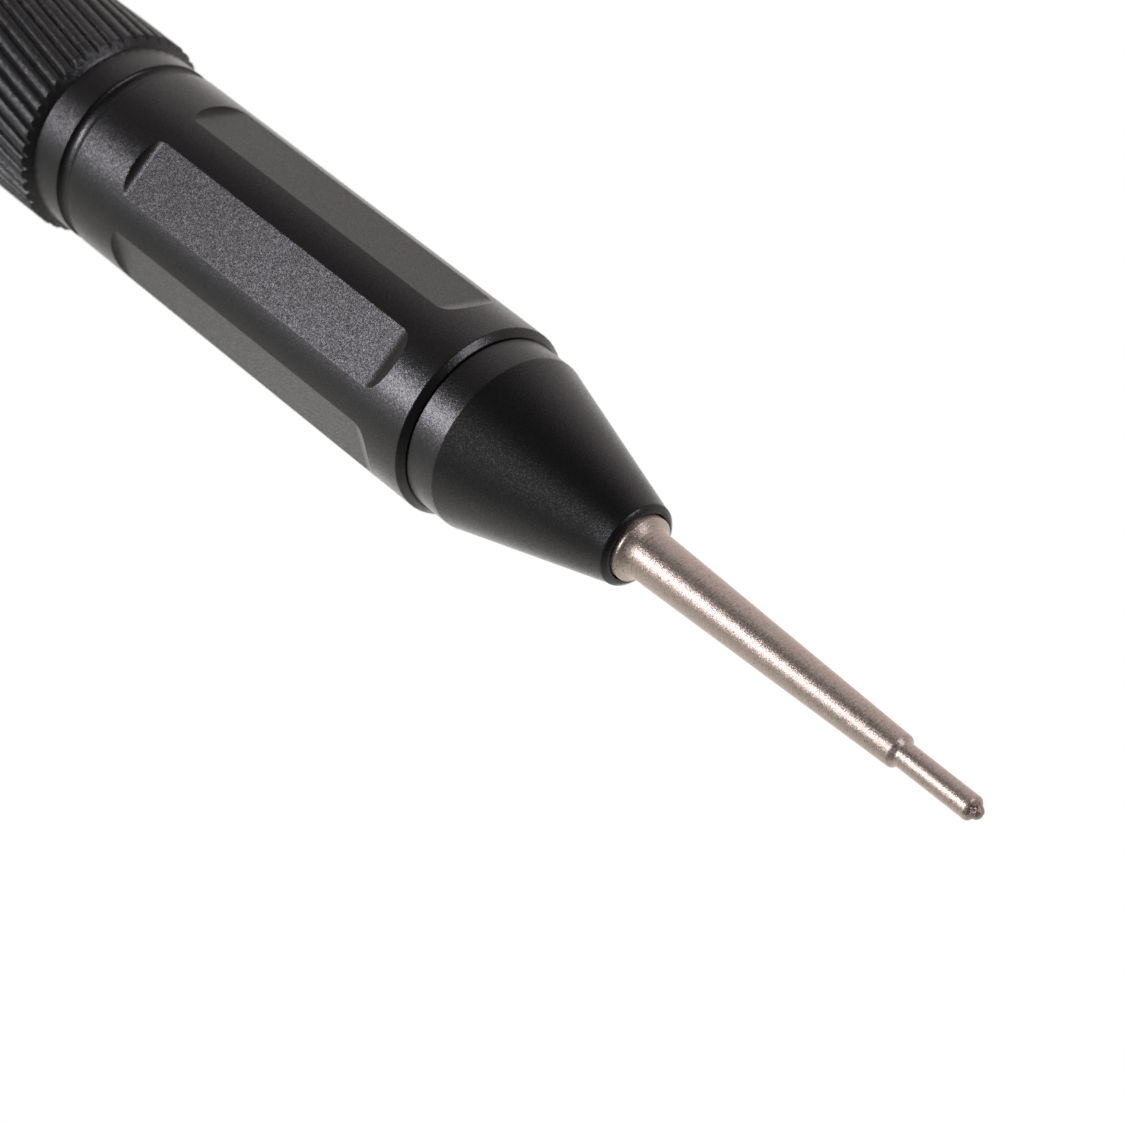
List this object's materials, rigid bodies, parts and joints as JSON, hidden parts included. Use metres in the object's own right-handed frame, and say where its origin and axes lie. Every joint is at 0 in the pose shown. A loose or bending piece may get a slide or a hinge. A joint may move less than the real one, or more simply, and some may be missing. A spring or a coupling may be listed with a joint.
{
  "type": "spring bar tool",
  "caption": "Double-ended spring bar tool with a knurled grip, flatted screw-off barrels, cone noses, and interchangeable pin and fork tips; spare tips are stored inside the hollow handle.",
  "frame": {"origin": "centre of the tool, on its axis, in the middle of the knurled sleeve", "axes": "+X along the tool's axis towards the pin tip, +Z out of a barrel flat, +Y along the fork's blade"},
  "size_m": [0.14, 0.0098, 0.0098],
  "materials": {
    "black_anodised": "bead-blasted, black anodised, satin with fine sparkle",
    "nickel_plate": "nickel-plated steel, satin, with faint turning marks",
    "brass": "turned, lightly dulled",
    "rubber": "matt nitrile",
    "nylon": "natural nylon"
  },
  "bodies": {
    "handle_core": {"knurled_sleeve": "black_anodised", "centre_plug": "brass", "front_tip_holder": "nylon", "rear_tip_holder": "nylon"},
    "spare_pin_tip": {"spare_pin_tip": "nickel_plate"},
    "spare_fork_tip": {"spare_fork_tip": "nickel_plate"},
    "front_barrel_seal": {"front_barrel_seal": "rubber"},
    "front_barrel": {"front_barrel": "black_anodised"},
    "front_nose_seal": {"front_nose_seal": "rubber"},
    "front_nose": {"front_nose_cone": "black_anodised", "front_tip_socket": "brass"},
    "pin_tip_washer": {"pin_tip_washer": "rubber"},
    "pin_tip": {"pin_tip": "nickel_plate"},
    "rear_barrel_seal": {"rear_barrel_seal": "rubber"},
    "rear_barrel": {"rear_barrel": "black_anodised"},
    "rear_nose_seal": {"rear_nose_seal": "rubber"},
    "rear_nose": {"rear_nose_cone": "black_anodised", "rear_tip_socket": "brass"},
    "fork_tip_washer": {"fork_tip_washer": "rubber"},
    "fork_tip": {"fork_tip": "nickel_plate"}
  },
  "joints": [
    {"name": "front_barrel_travel", "type": "slide", "parent": "handle_core", "child": "front_barrel_seal", "axis": [1, 0, 0], "range_m": [0, 0.00675]},
    {"name": "front_barrel_turn", "type": "hinge", "parent": "front_barrel_seal", "child": "front_barrel", "pos_m": [0.01685, 0, 0], "axis": [1, 0, 0], "range_deg": [0, 3240]},
    {"name": "front_nose_travel", "type": "slide", "parent": "front_barrel", "child": "front_nose_seal", "axis": [1, 0, 0], "range_m": [0, 0.00637]},
    {"name": "front_nose_turn", "type": "hinge", "parent": "front_nose_seal", "child": "front_nose", "pos_m": [0.04022, 0, 0], "axis": [1, 0, 0], "range_deg": [0, 3060]},
    {"name": "pin_tip_travel", "type": "slide", "parent": "front_nose", "child": "pin_tip_washer", "axis": [1, 0, 0], "range_m": [0, 0.0052]},
    {"name": "pin_tip_turn", "type": "hinge", "parent": "pin_tip_washer", "child": "pin_tip", "pos_m": [0.04836, 0, 0], "axis": [1, 0, 0], "range_deg": [0, 4680]},
    {"name": "spare_pin_tip_draw", "type": "slide", "parent": "handle_core", "child": "spare_pin_tip", "axis": [1, 0, 0], "range_m": [0, 0.0058]},
    {"name": "rear_barrel_travel", "type": "slide", "parent": "handle_core", "child": "rear_barrel_seal", "axis": [-1, 0, 0], "range_m": [0, 0.00675]},
    {"name": "rear_barrel_turn", "type": "hinge", "parent": "rear_barrel_seal", "child": "rear_barrel", "pos_m": [-0.01685, 0, 0], "axis": [-1, 0, 0], "range_deg": [0, 3240]},
    {"name": "rear_nose_travel", "type": "slide", "parent": "rear_barrel", "child": "rear_nose_seal", "axis": [-1, 0, 0], "range_m": [0, 0.00637]},
    {"name": "rear_nose_turn", "type": "hinge", "parent": "rear_nose_seal", "child": "rear_nose", "pos_m": [-0.04022, 0, 0], "axis": [-1, 0, 0], "range_deg": [0, 3060]},
    {"name": "fork_tip_travel", "type": "slide", "parent": "rear_nose", "child": "fork_tip_washer", "axis": [-1, 0, 0], "range_m": [0, 0.0052]},
    {"name": "fork_tip_turn", "type": "hinge", "parent": "fork_tip_washer", "child": "fork_tip", "pos_m": [-0.04836, 0, 0], "axis": [-1, 0, 0], "range_deg": [0, 4680]},
    {"name": "spare_fork_tip_draw", "type": "slide", "parent": "handle_core", "child": "spare_fork_tip", "axis": [-1, 0, 0], "range_m": [0, 0.0058]}
  ],
  "couplings": [
    {"joint": "front_barrel_turn", "follows": "front_barrel_travel", "rad_per_m": 8377.6},
    {"joint": "front_nose_turn", "follows": "front_nose_travel", "rad_per_m": 8377.6},
    {"joint": "pin_tip_turn", "follows": "pin_tip_travel", "rad_per_m": 15708},
    {"joint": "rear_barrel_turn", "follows": "rear_barrel_travel", "rad_per_m": 8377.6},
    {"joint": "rear_nose_turn", "follows": "rear_nose_travel", "rad_per_m": 8377.6},
    {"joint": "fork_tip_turn", "follows": "fork_tip_travel", "rad_per_m": 15708}
  ]
}
